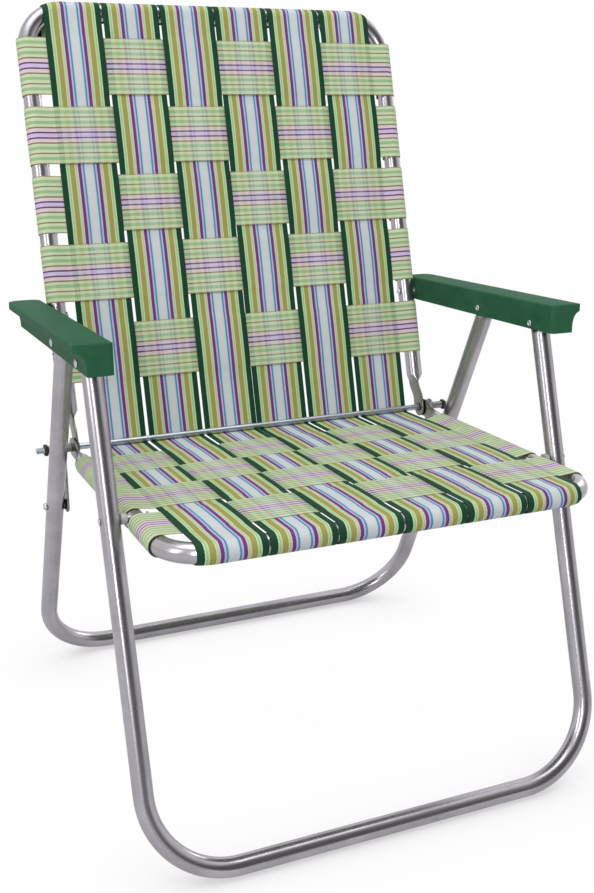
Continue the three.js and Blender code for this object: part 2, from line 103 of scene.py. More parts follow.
# pivots from the side, where the frame has them
rodSide = hingePlace["seat_turn"].yz
seatPivot = hingePlace["front_leg_turn"].yz
linkPin = hingePlace["fold"].yz
frontTop = hingePlace["armrest_left_turn"].yz
rearTop = nodeMiddle("arm_rear_rivet_outer_left").yz
backPin = nodeMiddle("back_rivet_left").yz

# places across the chair, outward from its middle: a leg tube's two sides, the armrest's walls
legSpan = hingePlace["armrest_right_turn"].x
legIn = legSpan - chair["tubeR"]
legOut = legSpan + chair["tubeR"]
armIn = legIn - chair["armGapIn"] - chair["armWall"]
skirtIn = legOut + chair["armGapOut"]
skirtOut = skirtIn + chair["armWall"]


def side(key):
    return Vector(chair[key])


def ease(low, high, x):
    t = min(max((x - low) / (high - low), 0.0), 1.0)
    return t * t * (3 - 2 * t)


def mix(a, b, t):
    return a + (b - a) * t


# point at a turn in degrees and a radius, with zero degrees upward and turning to the left
def onTurn(turn, radius):
    return -radius * math.sin(math.radians(turn)), radius * math.cos(math.radians(turn))


# a frame's plane: along runs from its bar to the pivot, out points to the sitter
def framePlane(bar, pivot, off, way):
    direct = pivot - bar
    tilt = -way * math.asin(off / direct.length)
    d = direct.normalized()
    along = Vector((d.x * math.cos(tilt) - d.y * math.sin(tilt), d.x * math.sin(tilt) + d.y * math.cos(tilt)))
    out = Vector((-along.y, along.x)) * way
    return {"bar": bar, "along": along, "out": out, "length": direct.dot(along), "off": off}


seatPlane = framePlane(side("seatBar"), rodSide, chair["rodAboveSeat"], 1)
backPlane = framePlane(side("backBar"), rodSide, chair["rodBeforeBack"], -1)
frontLegPlane = framePlane(side("frontFoot"), frontTop, 0, 1)
rearLegPlane = framePlane(side("rearFoot"), rearTop, 0, 1)


def sidePlace(plane, s, n):
    return plane["bar"] + plane["along"] * s + plane["out"] * n


def sideToPlane(plane, p):
    d = p - plane["bar"]
    return d.dot(plane["along"]), d.dot(plane["out"])


def inPlane(plane, x, s, n):
    p = sidePlace(plane, s, n)
    return Vector((x, p.x, p.y)) * mm


# builds an object from points and faces; edges sharper than crease stay hard
def makePiece(name, points, faces, look, crease, marks=None):
    mesh = bpy.data.meshes.new(name)
    mesh.from_pydata([tuple(p) for p in points], [], faces)
    for key, values in (marks or {}).items():
        isVector = not isinstance(values[0], float)
        layer = mesh.attributes.new(key, "FLOAT_VECTOR" if isVector else "FLOAT", "POINT")
        flat = [c for v in values for c in v] if isVector else values
        layer.data.foreach_set("vector" if isVector else "value", flat)
    piece = addObject(name, mesh)
    tidyMesh(piece, crease)
    mesh.materials.append(look)
    return piece


def tidyMesh(piece, crease):
    work = bmesh.new()
    work.from_mesh(piece.data)
    bmesh.ops.remove_doubles(work, verts=work.verts, dist=1e-6)
    bmesh.ops.recalc_face_normals(work, faces=work.faces)
    for face in work.faces:
        face.smooth = True
    for edge in work.edges:
        edge.smooth = len(edge.link_faces) == 2 and edge.calc_face_angle(0) < math.radians(crease)
    work.to_mesh(piece.data)
    work.free()


def loftFaces(rings, sides, first=0, caps=True):
    faces = []
    for r in range(rings - 1):
        for i in range(sides):
            a = first + r * sides + i
            b = first + r * sides + (i + 1) % sides
            faces.append((a, b, b + sides, a + sides))
    if caps:
        faces.append(tuple(first + i for i in reversed(range(sides))))
        faces.append(tuple(first + (rings - 1) * sides + i for i in range(sides)))
    return faces


# a rigid piece takes the place of one solid
def fitPiece(piece, body, node, slotName):
    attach(piece, body)
    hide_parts(node)


# node helpers for the finishes; colours are written as they look, from 0 to 255
def paint(red, green, blue):
    return tuple(toLinear(c / 255) for c in (red, green, blue)) + (1.0,)


def toLinear(level):
    return ((level + 0.055) / 1.055) ** 2.4 if level > 0.04045 else level / 12.92


def startLook(name, roughness=0.5, **fixed):
    look = bpy.data.materials.new(name)
    look.use_nodes = True
    tree = look.node_tree
    tree.nodes.clear()
    shader = tree.nodes.new("ShaderNodeBsdfPrincipled")
    out = tree.nodes.new("ShaderNodeOutputMaterial")
    tree.links.new(shader.outputs[0], out.inputs[0])
    shader.inputs["Roughness"].default_value = roughness
    for key, value in fixed.items():
        shader.inputs[key].default_value = value
    return look, tree, shader


def feed(tree, socket, value):
    if isinstance(value, bpy.types.NodeSocket):
        tree.links.new(value, socket)
    else:
        socket.default_value = value


def calc(tree, kind, *values):
    node = tree.nodes.new("ShaderNodeMath")
    node.operation = kind
    for socket, value in zip(node.inputs, values):
        feed(tree, socket, value)
    return node.outputs[0]


def mark(tree, name, vector=False):
    node = tree.nodes.new("ShaderNodeAttribute")
    node.attribute_name = name
    return node.outputs["Vector" if vector else "Fac"]


def stretch(tree, vector, scale):
    node = tree.nodes.new("ShaderNodeVectorMath")
    node.operation = "MULTIPLY"
    feed(tree, node.inputs[0], vector)
    node.inputs[1].default_value = scale
    return node.outputs[0]


def grain(tree, vector, scale, detail=3.0, rough=0.55):
    node = tree.nodes.new("ShaderNodeTexNoise")
    feed(tree, node.inputs["Vector"], vector)
    node.inputs["Scale"].default_value = scale
    node.inputs["Detail"].default_value = detail
    node.inputs["Roughness"].default_value = rough
    return node.outputs["Fac"]


def ramp(tree, value, stops, hard=False):
    node = tree.nodes.new("ShaderNodeValToRGB")
    node.color_ramp.interpolation = "CONSTANT" if hard else "LINEAR"
    items = node.color_ramp.elements
    while len(items) < len(stops):
        items.new(0.5)
    for item, (place, colour) in zip(items, stops):
        item.position = place
        item.color = colour if isinstance(colour, tuple) else (colour, colour, colour, 1)
    feed(tree, node.inputs[0], value)
    return node.outputs["Color"]


# ramp over the values that most of a grain has
def grainRamp(tree, value, low, high):
    return ramp(tree, value, [(0.3, low), (0.7, high)])


def blendColour(tree, share, first, second, kind="MIX"):
    node = tree.nodes.new("ShaderNodeMix")
    node.data_type = "RGBA"
    node.blend_type = kind
    feed(tree, node.inputs[0], share)
    feed(tree, node.inputs[6], first)
    feed(tree, node.inputs[7], second)
    return node.outputs[2]


def darken(tree, share, colour, pattern):
    return blendColour(tree, share, colour, pattern, "MULTIPLY")


def bump(tree, height, strength, distance):
    node = tree.nodes.new("ShaderNodeBump")
    node.inputs["Strength"].default_value = strength
    node.inputs["Distance"].default_value = distance
    feed(tree, node.inputs["Height"], height)
    return node.outputs[0]


def finishLook(tree, shader, colour, wear, normal):
    for key, value in (("Base Color", colour), ("Roughness", wear), ("Normal", normal)):
        feed(tree, shader.inputs[key], value)


def objectPlace(tree):
    return tree.nodes.new("ShaderNodeTexCoord").outputs["Object"]


# polished tube: long draw lines, cloudy handling marks and a faint lilac tint; pressed ends are painted a
# darker olive-grey, as painted shade where they sit between parts at the pivots
tubeFinish = {"dark": paint(158, 154, 160), "pale": paint(197, 193, 199), "pressed": paint(132, 130, 120),
              "lines": (1100, 1100, 5), "clouds": 14, "cloudShare": 0.7, "smooth": 0.17, "worn": 0.33,
              "relief": 0.03, "reliefDeep": 0.0003}
rodFinish = dict(tubeFinish, dark=paint(164, 172, 180), pale=paint(206, 214, 220), pressed=None,
                 lines=(900, 900, 8), clouds=25, smooth=0.3, worn=0.45)


def tubeLook(name, finish):
    look, tree, shader = startLook(name, Metallic=1.0)
    drawn = mark(tree, "drawn", True)
    share = finish["cloudShare"]
    lines = grain(tree, stretch(tree, drawn, finish["lines"]), 1.0, 2.0)
    clouds = grain(tree, drawn, finish["clouds"], 4.0)
    both = calc(tree, "ADD", calc(tree, "MULTIPLY", lines, 1 - share), calc(tree, "MULTIPLY", clouds, share))
    colour = ramp(tree, both, [(0.3, finish["dark"]), (0.66, finish["pale"])])
    # pressed ends take a darker olive-grey: painted shade of the pivots they sit in
    if finish["pressed"]:
        colour = blendColour(tree, mark(tree, "pressed"), colour, finish["pressed"])
    wear = ramp(tree, both, [(0.32, finish["worn"]), (0.68, finish["smooth"])])
    finishLook(tree, shader, colour, wear, bump(tree, lines, finish["relief"], finish["reliefDeep"]))
    return look


# small metal and plastic pieces: fine grain by place, with the slot that their solids have
smallFinish = {
    "rivetAluminium": {"dark": (168, 166, 172), "pale": (226, 226, 230), "smooth": 0.2, "worn": 0.42,
                       "clouds": 160, "metal": 1.0, "relief": 0.1, "slot": "frame_aluminium"},
    "screwZinc": {"dark": (128, 130, 134), "pale": (190, 192, 196), "smooth": 0.28, "worn": 0.5,
                  "clouds": 210, "metal": 1.0, "relief": 0.15, "slot": "frame_aluminium"},
    "sleeveMetal": {"dark": (120, 122, 124), "pale": (164, 166, 166), "smooth": 0.25, "worn": 0.45,
                    "clouds": 170, "metal": 1.0, "relief": 0.12, "slot": "frame_aluminium"},
    "darkWasher": {"dark": (74, 76, 75), "pale": (108, 110, 107), "smooth": 0.36, "worn": 0.55,
                   "clouds": 170, "metal": 0.0, "relief": 0.15, "slot": "black_fittings"},
    "paleSpacer": {"dark": (136, 136, 134), "pale": (176, 176, 172), "smooth": 0.4, "worn": 0.55,
                   "clouds": 170, "metal": 0.0, "relief": 0.15, "slot": "black_fittings"},
    "blackFitting": {"dark": (16, 16, 18), "pale": (38, 38, 41), "smooth": 0.42, "worn": 0.62,
                     "clouds": 180, "metal": 0.0, "relief": 0.2, "slot": "black_fittings"}}
grainPerCloud = 9  # how much finer the grain is than the clouds
smallReliefDeep = 0.0002


def partLook(name, finish):
    look, tree, shader = startLook(name, Metallic=finish["metal"])
    place = objectPlace(tree)
    coarse = grain(tree, place, finish["clouds"], 4.0)
    fine = grain(tree, place, finish["clouds"] * grainPerCloud, 2.0)
    colour = grainRamp(tree, coarse, paint(*finish["dark"]), paint(*finish["pale"]))
    wear = grainRamp(tree, coarse, finish["worn"], finish["smooth"])
    finishLook(tree, shader, colour, wear, bump(tree, fine, finish["relief"], smallReliefDeep))
    return look


# moulded armrest: fine leather-like grain, cloudy colour, paler where hands rub
armFinish = {"shade": paint(40, 83, 59), "body": paint(46, 91, 65), "rub": paint(53, 99, 72), "clouds": 22,
             "shine": 0.03, "smooth": 0.42, "worn": 0.58, "grain": 900, "grainDark": 0.88, "grainShare": 0.7,
             "relief": 0.16, "reliefDeep": 0.0004}


def armLook(name, finish):
    look, tree, shader = startLook(name, **{"Specular IOR Level": finish["shine"]})
    place = objectPlace(tree)
    cloud = grain(tree, place, finish["clouds"], 5.0, 0.6)
    skin = grain(tree, place, finish["grain"], 2.0, 0.5)
    body = ramp(tree, cloud, [(0.34, finish["shade"]), (0.52, finish["body"]), (0.76, finish["rub"])])
    speck = ramp(tree, skin, [(0.35, finish["grainDark"]), (0.6, 1.0)])
    wear = grainRamp(tree, cloud, finish["smooth"], finish["worn"])
    colour = darken(tree, finish["grainShare"], body, speck)
    finishLook(tree, shader, colour, wear, bump(tree, skin, finish["relief"], finish["reliefDeep"]))
    return look


# webbing stripes run from the middle of the strip (0) to its edge (1), and are the same on both halves
stripedWeb = {"wide": 74.4, "stripes": [
    (0.0, (212, 208, 210)), (0.05, (202, 211, 214)), (0.13, (172, 207, 216)), (0.16, (84, 140, 168)),
    (0.215, (188, 184, 214)), (0.27, (110, 56, 126)), (0.38, (216, 192, 196)), (0.415, (174, 204, 150)),
    (0.47, (204, 212, 164)), (0.50, (160, 154, 84)), (0.67, (200, 213, 162)), (0.705, (156, 200, 138)),
    (0.765, (192, 215, 178)), (0.80, (11, 64, 39))]}
paleWeb = {"wide": 72.5, "below": 76.6, "showThrough": 0.22, "reach": 229.8, "stripes": [
    (0.0, (208, 190, 220)), (0.065, (98, 58, 116)), (0.12, (220, 202, 204)), (0.24, (138, 122, 98)),
    (0.29, (202, 214, 174)), (0.39, (154, 188, 142)), (0.50, (204, 216, 178)), (0.605, (142, 126, 102)),
    (0.65, (204, 216, 176)), (0.75, (156, 190, 144)), (0.86, (206, 218, 174)), (0.965, (150, 138, 110))]}
# the weave's low places carry painted shade; fade and fibre are the webbing's own uneven tone
weaveFinish = {"rib": 3.1, "pick": 4.4, "wobble": 0.0015, "shine": 0.22, "smooth": 0.5, "worn": 0.72,
               "weaveValleyShade": 0.84, "fade": 9.0, "fadeDark": 0.93, "fibre": 900, "fibreDark": 0.82,
               "fibreShare": 0.35, "fibreHigh": 0.5, "relief": 0.35, "reliefDeep": 0.00025}


# how far a share from 0 to 1 lies from its middle, as 0 to 1
def fromMiddle(tree, share):
    return calc(tree, "ABSOLUTE", calc(tree, "SUBTRACT", calc(tree, "MULTIPLY", share, 2.0), 1.0))


def stripeRamp(tree, place, web):
    return ramp(tree, place, [(start, paint(*colour)) for start, colour in web["stripes"]], True)


def webLook(name, web, under=None):
    w = weaveFinish
    look, tree, shader = startLook(name, **{"Specular IOR Level": w["shine"]})
    across, along = mark(tree, "across"), mark(tree, "along")
    ribs = calc(tree, "SINE", calc(tree, "MULTIPLY", across, 2 * math.pi * web["wide"] / w["rib"]))
    picks = calc(tree, "SINE", calc(tree, "MULTIPLY", along, 2 * math.pi / (w["pick"] * mm)))
    weave = calc(tree, "MULTIPLY", ribs, picks)
    wobble = calc(tree, "MULTIPLY", picks, w["wobble"])
    colour = stripeRamp(tree, calc(tree, "ADD", fromMiddle(tree, across), wobble), web)
    if under:  # the straps below show through the band a little
        strap = fromMiddle(tree, calc(tree, "FRACT", calc(tree, "DIVIDE", along, web["below"] * mm)))
        seen = calc(tree, "LESS_THAN", calc(tree, "ABSOLUTE", along), web["reach"] * mm)
        seen = calc(tree, "MULTIPLY", seen, web["showThrough"])
        colour = blendColour(tree, seen, colour, stripeRamp(tree, strap, under))
    place = objectPlace(tree)
    fade = grain(tree, place, w["fade"], 3.0)
    fibre = grain(tree, stretch(tree, place, (w["fibre"],) * 3), 1.0, 2.0)
    # the weave's low places are painted darker: painted shade in the valleys between the yarns
    colour = darken(tree, 1.0, colour, ramp(tree, weave, [(0.0, w["weaveValleyShade"]), (0.75, 1.0)]))
    colour = darken(tree, 1.0, colour, grainRamp(tree, fade, w["fadeDark"], 1.0))
    colour = darken(tree, w["fibreShare"], colour, grainRamp(tree, fibre, w["fibreDark"], 1.0))
    height = calc(tree, "ADD", weave, calc(tree, "MULTIPLY", fibre, w["fibreHigh"]))
    wear = ramp(tree, weave, [(0.0, w["worn"]), (1.0, w["smooth"])])
    finishLook(tree, shader, colour, wear, bump(tree, height, w["relief"], w["reliefDeep"]))
    return look


aluminium = tubeLook("polishedAluminium", tubeFinish)
rodSteel = tubeLook("brightSteel", rodFinish)
smallLook = {name: partLook(name, finish) for name, finish in smallFinish.items()}
greenArm = armLook("greenArmrest", armFinish)
stripedLook = webLook("stripedWebbing", stripedWeb)
paleLook = webLook("paleWebbing", paleWeb, stripedWeb)
print("finishes made")

# bent tube frames with ends pressed flat round their pivots
tubeShape = {"sides": 40, "bendSteps": 24, "taperSteps": 12, "stepSteps": 8, "tipSteps": 9, "tipBlunt": 0.35,
             "squareness": 0.6, "spread": 2.15, "crease": 50,
             "legEnd": {"thick": 16.0, "wide": 25.2, "flat": 7.0, "straight": 7.0, "taper": 8.0},
             "hingeEnd": {"thick": 4.0, "wide": 25.0, "flat": 36.0, "straight": 14.0, "taper": 12.0},
             "bends": {"front_leg_frame": 98.0, "rear_leg_frame": 90.0,
                       "seat_frame": 48.0, "back_frame": 50.0}}


# right half of a frame, from the middle of its bar: x, place along, heading, flatness and share of its width
def halfRun(plane, span, bend, end, spread):
    shape, pivot, quarter = tubeShape, plane["length"], math.pi / 2
    rows = []
    for i in range(shape["bendSteps"] + 1):
        turn = quarter * i / shape["bendSteps"]
        rows.append((span - bend * (1 - math.sin(turn)), bend * (1 - math.cos(turn)), turn, 0.0, 1.0))
    flatFrom = pivot - end["flat"]
    for i in range(shape["taperSteps"] + 1):
        k = i / shape["taperSteps"]
        press = ease(0, 1, k)
        rows.append((span + spread * press, flatFrom - end["taper"] * (1 - k), quarter, press, 1.0))
    for i in range(1, shape["stepSteps"] + 1):
        rows.append((span + spread, mix(flatFrom, pivot, i / shape["stepSteps"]), quarter, 1.0, 1.0))
    for i in range(1, shape["tipSteps"] + 1):
        tip = quarter * i / (shape["tipSteps"] + shape["tipBlunt"])
        rows.append((span + spread, pivot + end["wide"] / 2 * math.sin(tip), quarter, 1.0, math.cos(tip)))
    return rows


# how far a pressed end steps over to its pivot
def endLift(plane, end, s):
    flatFrom, onPivot = plane["length"] - end["flat"], plane["length"] - end["straight"]
    return plane["off"] * ease(flatFrom, onPivot, s) if plane["off"] else 0.0


def bentTube(name, node, body, plane, span, end, spread=0.0):
    shape, radius = tubeShape, chair["tubeR"]
    half = halfRun(plane, span, shape["bends"][node], end, spread)
    run = [(-x, s, -turn, press, rest) for x, s, turn, press, rest in reversed(half)] + half
    points, drawn, pressed = [], [], []
    reach = 0.0
    before = Vector(run[0][:2])
    for x, s, turn, press, rest in run:
        here = Vector((x, s))
        reach += (here - before).length
        before = here
        thick = mix(radius, end["thick"] / 2, press)
        wide = mix(radius, end["wide"] / 2, press) * rest
        power = mix(1.0, shape["squareness"], press)
        lift = endLift(plane, end, s)
        for i in range(shape["sides"]):
            a = 2 * math.pi * (i + 0.5) / shape["sides"]
            c, d = math.cos(a), math.sin(a)
            across = thick * math.copysign(abs(c) ** power, c)
            out = wide * math.copysign(abs(d) ** power, d)
            p = inPlane(plane, x + across * math.sin(turn), s - across * math.cos(turn), out + lift)
            p.z = max(p.z, 0.0)  # floor bars are worn flat underneath
            points.append(p)
            drawn.append((c * radius * mm, d * radius * mm, reach * mm))
            # how far each point is pressed flat; it masks the painted shade on the pressed ends
            pressed.append(float(press))
    faces = loftFaces(len(run), shape["sides"])
    marks = {"drawn": drawn, "pressed": pressed}
    piece = makePiece(name, points, faces, aluminium, shape["crease"], marks)
    fitPiece(piece, body, node, "frame_aluminium")


def makeTubes():
    legEnd, hingeEnd = tubeShape["legEnd"], tubeShape["hingeEnd"]
    span, spread = chair["hingeSpan"], tubeShape["spread"]
    bentTube("frontLegTube", "front_leg_frame", "front_legs", frontLegPlane, legSpan, legEnd)
    bentTube("rearLegTube", "rear_leg_frame", "rear_legs", rearLegPlane, legSpan, legEnd)
    bentTube("seatTube", "seat_frame", "seat", seatPlane, span, hingeEnd, spread)
    bentTube("backTube", "back_frame", "back", backPlane, span, hingeEnd, -spread)


makeTubes()
print("tube frames made")

# hardware on the cross axes; a profile is a list of (x, radius), outward from the middle of the chair
hardware = {"sides": 40, "crease": 32, "chamfer": 0.5, "pinR": 3.0, "pinBore": 3.3, "rodR": 4.0,
            "rodBore": 4.3, "headR": 4.8, "headHigh": 2.2, "pinHeadHigh": 4.0, "seatHeadR": 4.0,
            "seatHeadHigh": 0.7, "rolledR": 4.0, "rolledHigh": 1.5, "collarR": 4.8, "collarEdge": 0.4,
            "washerR": 6.5, "washerThick": 1.6, "spacerR": 5.5, "sleeveR": 5.0, "bushR": 7.0,
            "seatSpacerR": 6.0, "linkThick": 2.8, "linkWide": 21.0, "linkBevel": 0.6, "linkSteps": 18,
            "nutInset": 6.7, "nutHigh": 5.0, "nutFlats": 13.0, "nutBevel": 0.8}
rodEnd = {"pastLeg": 8.0, "threadLong": 17.1, "pitch": 1.25, "deep": 0.45, "lead": 1.0,
          "tipLong": 0.8, "tipRound": 0.1, "tipDeep": 1.2, "plainReach": 240, "plainStep": 60}
domeShape = {"steps": 9, "lip": 0.22, "footIn": 0.97, "footHigh": 0.05}
rimShape = {"steps": 10, "low": 0.3, "roll": 0.28, "hollowHigh": 0.1, "hollowR": 0.3}
linkSpan = hingePlace["link_right_turn"].x
linkIn = linkSpan - hardware["linkThick"] / 2
linkOut = linkSpan + hardware["linkThick"] / 2
nutIn = legOut - hardware["nutInset"]


def dome(x, high, radius):
    d = domeShape
    profile = [(x, radius * d["footIn"]), (x + high * d["footHigh"], radius)]
    for i in range(d["steps"]):
        turn = math.pi / 2 * i / d["steps"]
        profile.append((x + high * mix(d["lip"], 1, math.sin(turn)), radius * math.cos(turn)))
    return profile + [(x + high, 0.0)]


# inner end of a tubular rivet: a rolled rim round a hollow
def rolledHead(x, high, radius):
    r = rimShape
    profile = [(x, radius)]
    for i in range(r["steps"] + 1):
        turn = math.pi * i / r["steps"]
        profile.append((x + high * mix(r["low"], 1, math.sin(turn)),
                        radius * (1 - r["roll"] + r["roll"] * math.cos(turn))))
    hollow = x + high * r["hollowHigh"]
    return profile + [(hollow, radius * r["hollowR"]), (hollow, 0.0)]


def collar(inside, outside, start, end):
    c = min(hardware["chamfer"], (end - start) / 3)
    return [(start, inside), (start, outside - c), (start + c, outside),
            (end - c, outside), (end, outside - c), (end, inside), (start, inside)]


# the solid that a small piece stands for has the same name, written with underscores
def nodeName(name):
    return "".join("_" + c.lower() if c.isupper() else c for c in name)


def turnedPiece(name, body, point, profile, look, slotName, mirror=1):
    count = hardware["sides"]
    points, drawn = [], []
    for x, r in profile:
        for i in range(count):
            a = 2 * math.pi * i / count
            points.append(Vector((mirror * x, point.x + r * math.cos(a), point.y + r * math.sin(a))) * mm)
            drawn.append((r * math.cos(a) * mm, r * math.sin(a) * mm, x * mm))
    faces = loftFaces(len(profile), count, caps=False)
    piece = makePiece(name, points, faces, look, hardware["crease"], {"drawn": drawn})
    fitPiece(piece, body, nodeName(name), slotName)


def platePiece(name, body, outline, startX, endX, bevel, finish, mirror):
    middle = sum((Vector(p) for p in outline), Vector((0, 0))) / len(outline)
    inset = [Vector(p) - (Vector(p) - middle).normalized() * bevel for p in outline]
    rings = [(startX, inset), (startX + bevel, outline), (endX - bevel, outline), (endX, inset)]
    points = [Vector((mirror * x, p[0], p[1])) * mm for x, ring in rings for p in ring]
    faces = loftFaces(len(rings), len(outline))
    piece = makePiece(name, points, faces, smallLook[finish], hardware["crease"])
    fitPiece(piece, body, nodeName(name), smallFinish[finish]["slot"])


def threadedRod():
    e, radius = rodEnd, hardware["rodR"]
    tip = legOut + e["pastLeg"]
    start = tip - e["threadLong"]
    right = [(start - e["lead"], radius)]
    for i in range(int((e["threadLong"] - e["lead"]) / e["pitch"])):
        x = start + i * e["pitch"]
        right += [(x, radius), (x + e["pitch"] / 2, radius - e["deep"])]
    right += [(tip - e["tipLong"], radius - e["tipRound"]), (tip, radius - e["tipDeep"]), (tip, 0.0)]
    plain = [(x, radius) for x in range(-e["plainReach"], e["plainReach"] + 1, e["plainStep"])]
    return [(-x, r) for x, r in reversed(right)] + plain + right


def hexOutline(centre, flats):
    r = flats / math.sqrt(3)
    turns = [math.pi / 3 * i for i in range(6)]
    return [(centre.x + r * math.cos(a), centre.y + r * math.sin(a)) for a in turns]


def linkOutline():
    half, steps = hardware["linkWide"] / 2, hardware["linkSteps"]
    lean = math.atan2(rodSide.y - linkPin.y, rodSide.x - linkPin.x)
    points = []
    for centre, start in ((rodSide, lean - math.pi / 2), (linkPin, lean + math.pi / 2)):
        for i in range(steps + 1):
            a = start + math.pi * i / steps
            points.append((centre.x + half * math.cos(a), centre.y + half * math.sin(a)))
    return points


def collarProfiles():
    h, gap, span, tube = hardware, chair["gap"], chair["hingeSpan"], chair["tubeR"]
    tongues = tubeShape["spread"] + tubeShape["hingeEnd"]["thick"] / 2  # half of the two hinge tongues
    inside, outside = span - tongues - gap, span + tongues + gap
    return {
        "rodWasher": collar(h["rodBore"], h["washerR"], inside - h["washerThick"], inside),
        "rodSpacer": collar(h["rodBore"], h["spacerR"], outside, linkIn - gap),
        "rodSleeve": collar(h["rodBore"], h["sleeveR"], linkOut + gap, nutIn - gap),
        "linkBush": collar(h["pinBore"], h["bushR"], linkOut + gap, legIn - gap),
        "seatSpacer": collar(h["pinBore"], h["seatSpacerR"], span + tube + gap, legIn - gap)}


def rivetProfiles():
    h, gap, wall, pin = hardware, chair["gap"], chair["armWall"], hardware["pinR"]
    tubeInside = chair["hingeSpan"] - chair["tubeR"] - gap
    tubeOutside = chair["hingeSpan"] + chair["tubeR"] + gap
    legFace, armFace, skirtFace = legOut + gap, armIn - gap, skirtOut + gap
    innerHead = dome(tubeInside, -h["headHigh"], h["headR"])[::-1]
    outerHead = dome(skirtFace, h["headHigh"], h["headR"])
    rolled = rolledHead(armFace, -h["rolledHigh"], h["rolledR"])
    r, edge = h["collarR"], h["collarEdge"]
    backCollar = [(tubeOutside, r - edge), (tubeOutside + edge, r), (armFace - edge, r), (armFace, r - edge)]
    return {
        "linkPin": [(linkIn - gap, 0.0), (linkIn - gap, pin), (legFace, pin)]
        + dome(legFace, h["pinHeadHigh"], h["headR"]),
        "seatRivet": innerHead + [(tubeInside, pin), (legFace, pin)]
        + dome(legFace, h["seatHeadHigh"], h["seatHeadR"]),
        "backRivet": innerHead + [(tubeInside, pin), (tubeOutside, pin)] + backCollar + [(armFace, 0.0)],
        "armFrontRivet": rolled[::-1] + [(armFace, pin), (skirtFace, pin)] + outerHead,
        "armRearRivetOuter": [(skirtIn, 0.0), (skirtIn, pin), (skirtFace, pin)] + outerHead,
        "armRearRivetInner": [(armIn + wall, 0.0), (armIn + wall, pin), (armFace, pin)] + rolled}


# each turned piece with its body, pivot and finish; an armrest's body also has a side
turnedRows = [("rodWasher", "seat", rodSide, "darkWasher"),
              ("rodSpacer", "seat", rodSide, "paleSpacer"),
              ("rodSleeve", "seat", rodSide, "sleeveMetal"),
              ("linkPin", "rear_legs", linkPin, "rivetAluminium"),
              ("linkBush", "rear_legs", linkPin, "blackFitting"),
              ("seatRivet", "seat", seatPivot, "rivetAluminium"),
              ("seatSpacer", "seat", seatPivot, "paleSpacer"),
              ("backRivet", "back", backPin, "rivetAluminium"),
              ("armFrontRivet", "armrest", frontTop, "rivetAluminium"),
              ("armRearRivetOuter", "armrest", rearTop, "rivetAluminium"),
              ("armRearRivetInner", "armrest", rearTop, "rivetAluminium")]


def makeHardware():
    h = hardware
    turnedPiece("hingeRod", "seat", rodSide, threadedRod(), rodSteel, "rod_steel")
    profiles = {**collarProfiles(), **rivetProfiles()}
    for word, way in (("left", -1), ("right", 1)):
        end = word.capitalize()
        for name, body, point, finish in turnedRows:
            carrier = f"armrest_{word}" if body == "armrest" else body
            slotName = smallFinish[finish]["slot"]
            turnedPiece(name + end, carrier, point, profiles[name], smallLook[finish], slotName, way)
        platePiece("hingeLink" + end, "link_" + word, linkOutline(), linkIn, linkOut, h["linkBevel"],
                   "sleeveMetal", way)
        platePiece("rodNut" + end, "seat", hexOutline(rodSide, h["nutFlats"]), nutIn, nutIn + h["nutHigh"],
                   h["nutBevel"], "blackFitting", way)


makeHardware()
print("rod, links and rivets made")

# armrests: a hollow channel under a wide top that overhangs the outside in a cove
# heights are measured from midway between the two leg pivots, square to the slope
armrest = {"slope": 6.0, "frontReach": 46.0, "rearReach": 200.0, "top": 25.0, "bottom": -9.0, "rearRise": 3.0,
           "topThick": 4.0, "endWall": 4.0, "flange": 9.0, "overhang": 13.0, "cove": 20.0, "edgeRound": 2.5,
           "lip": 1.0, "lipRound": 0.3, "frontCorner": 6.0, "rearCorner": 14.0, "rearLip": 14.0, "crown": 0.6,
           "steps": 9, "crownSteps": 8, "frontSteps": 10, "bays": 5, "rearSteps": 12, "crease": 36,
           "cutBelow": -30.0}


# cross section of an armrest as (x, z), from the inner wall's foot over the top to the outer skirt's foot
def armOutline():
    a = armrest
    outer, under, r, n = skirtOut + a["overhang"], a["top"] - a["flange"], a["edgeRound"], a["steps"]
    turns = [math.pi / 2 * i / n for i in range(n + 1)]
    points = [(armIn, a["bottom"]), (armIn, (a["bottom"] + a["top"]) / 2)]
    points += [(armIn + r - r * math.cos(t), a["top"] - r + r * math.sin(t)) for t in turns]
    for i in range(1, a["crownSteps"]):
        k = i / a["crownSteps"]
        points.append((mix(armIn + r, outer - r, k), a["top"] + a["crown"] * math.sin(math.pi * k)))
    points += [(outer - r + r * math.sin(t), a["top"] - r + r * math.cos(t)) for t in turns]
    lip, ease45 = a["lip"], a["lip"] * a["lipRound"]
    points += [(outer, under + lip), (outer - ease45, under + ease45), (outer - lip, under)]
    for i in range(1, n + 1):
        t = i / n
        start, middle, last = (1 - t) ** 2, 2 * t * (1 - t), t * t  # shares of the curve's three guide points
        points.append((start * (outer - lip) + (middle + last) * skirtOut,
                       (start + middle) * under + last * (under - a["cove"])))
    return points + [(skirtOut, a["bottom"])]


# how far a rounded corner lies back from the straight side, at a distance from the end
def cornerBack(near, radius):
    return radius - math.sqrt(max(radius ** 2 - (radius - near) ** 2, 0)) if near < radius else 0.0


def cornerSteps(radius, steps):
    return [radius * (1 - math.cos(math.pi / 2 * i / steps)) for i in range(steps + 1)]


def cutHollow(arm, corners):
    hollow = addObject("armHollow", bpy.data.meshes.new("armHollow"))
    hollow.data.from_pydata([tuple(p) for p in corners], [], loftFaces(2, 4))
    tidyMesh(hollow, armrest["crease"])
    cutter = arm.modifiers.new("hollow", "BOOLEAN")
    cutter.object = hollow
    cutter.operation = "DIFFERENCE"
    cutter.solver = "EXACT"
    bpy.context.view_layer.update()
    cutMesh = bpy.data.meshes.new_from_object(arm.evaluated_get(bpy.context.evaluated_depsgraph_get()))
    arm.modifiers.clear()
    arm.data = cutMesh
    arm.data.name = arm.name
    bpy.data.objects.remove(hollow)
    tidyMesh(arm, armrest["crease"])


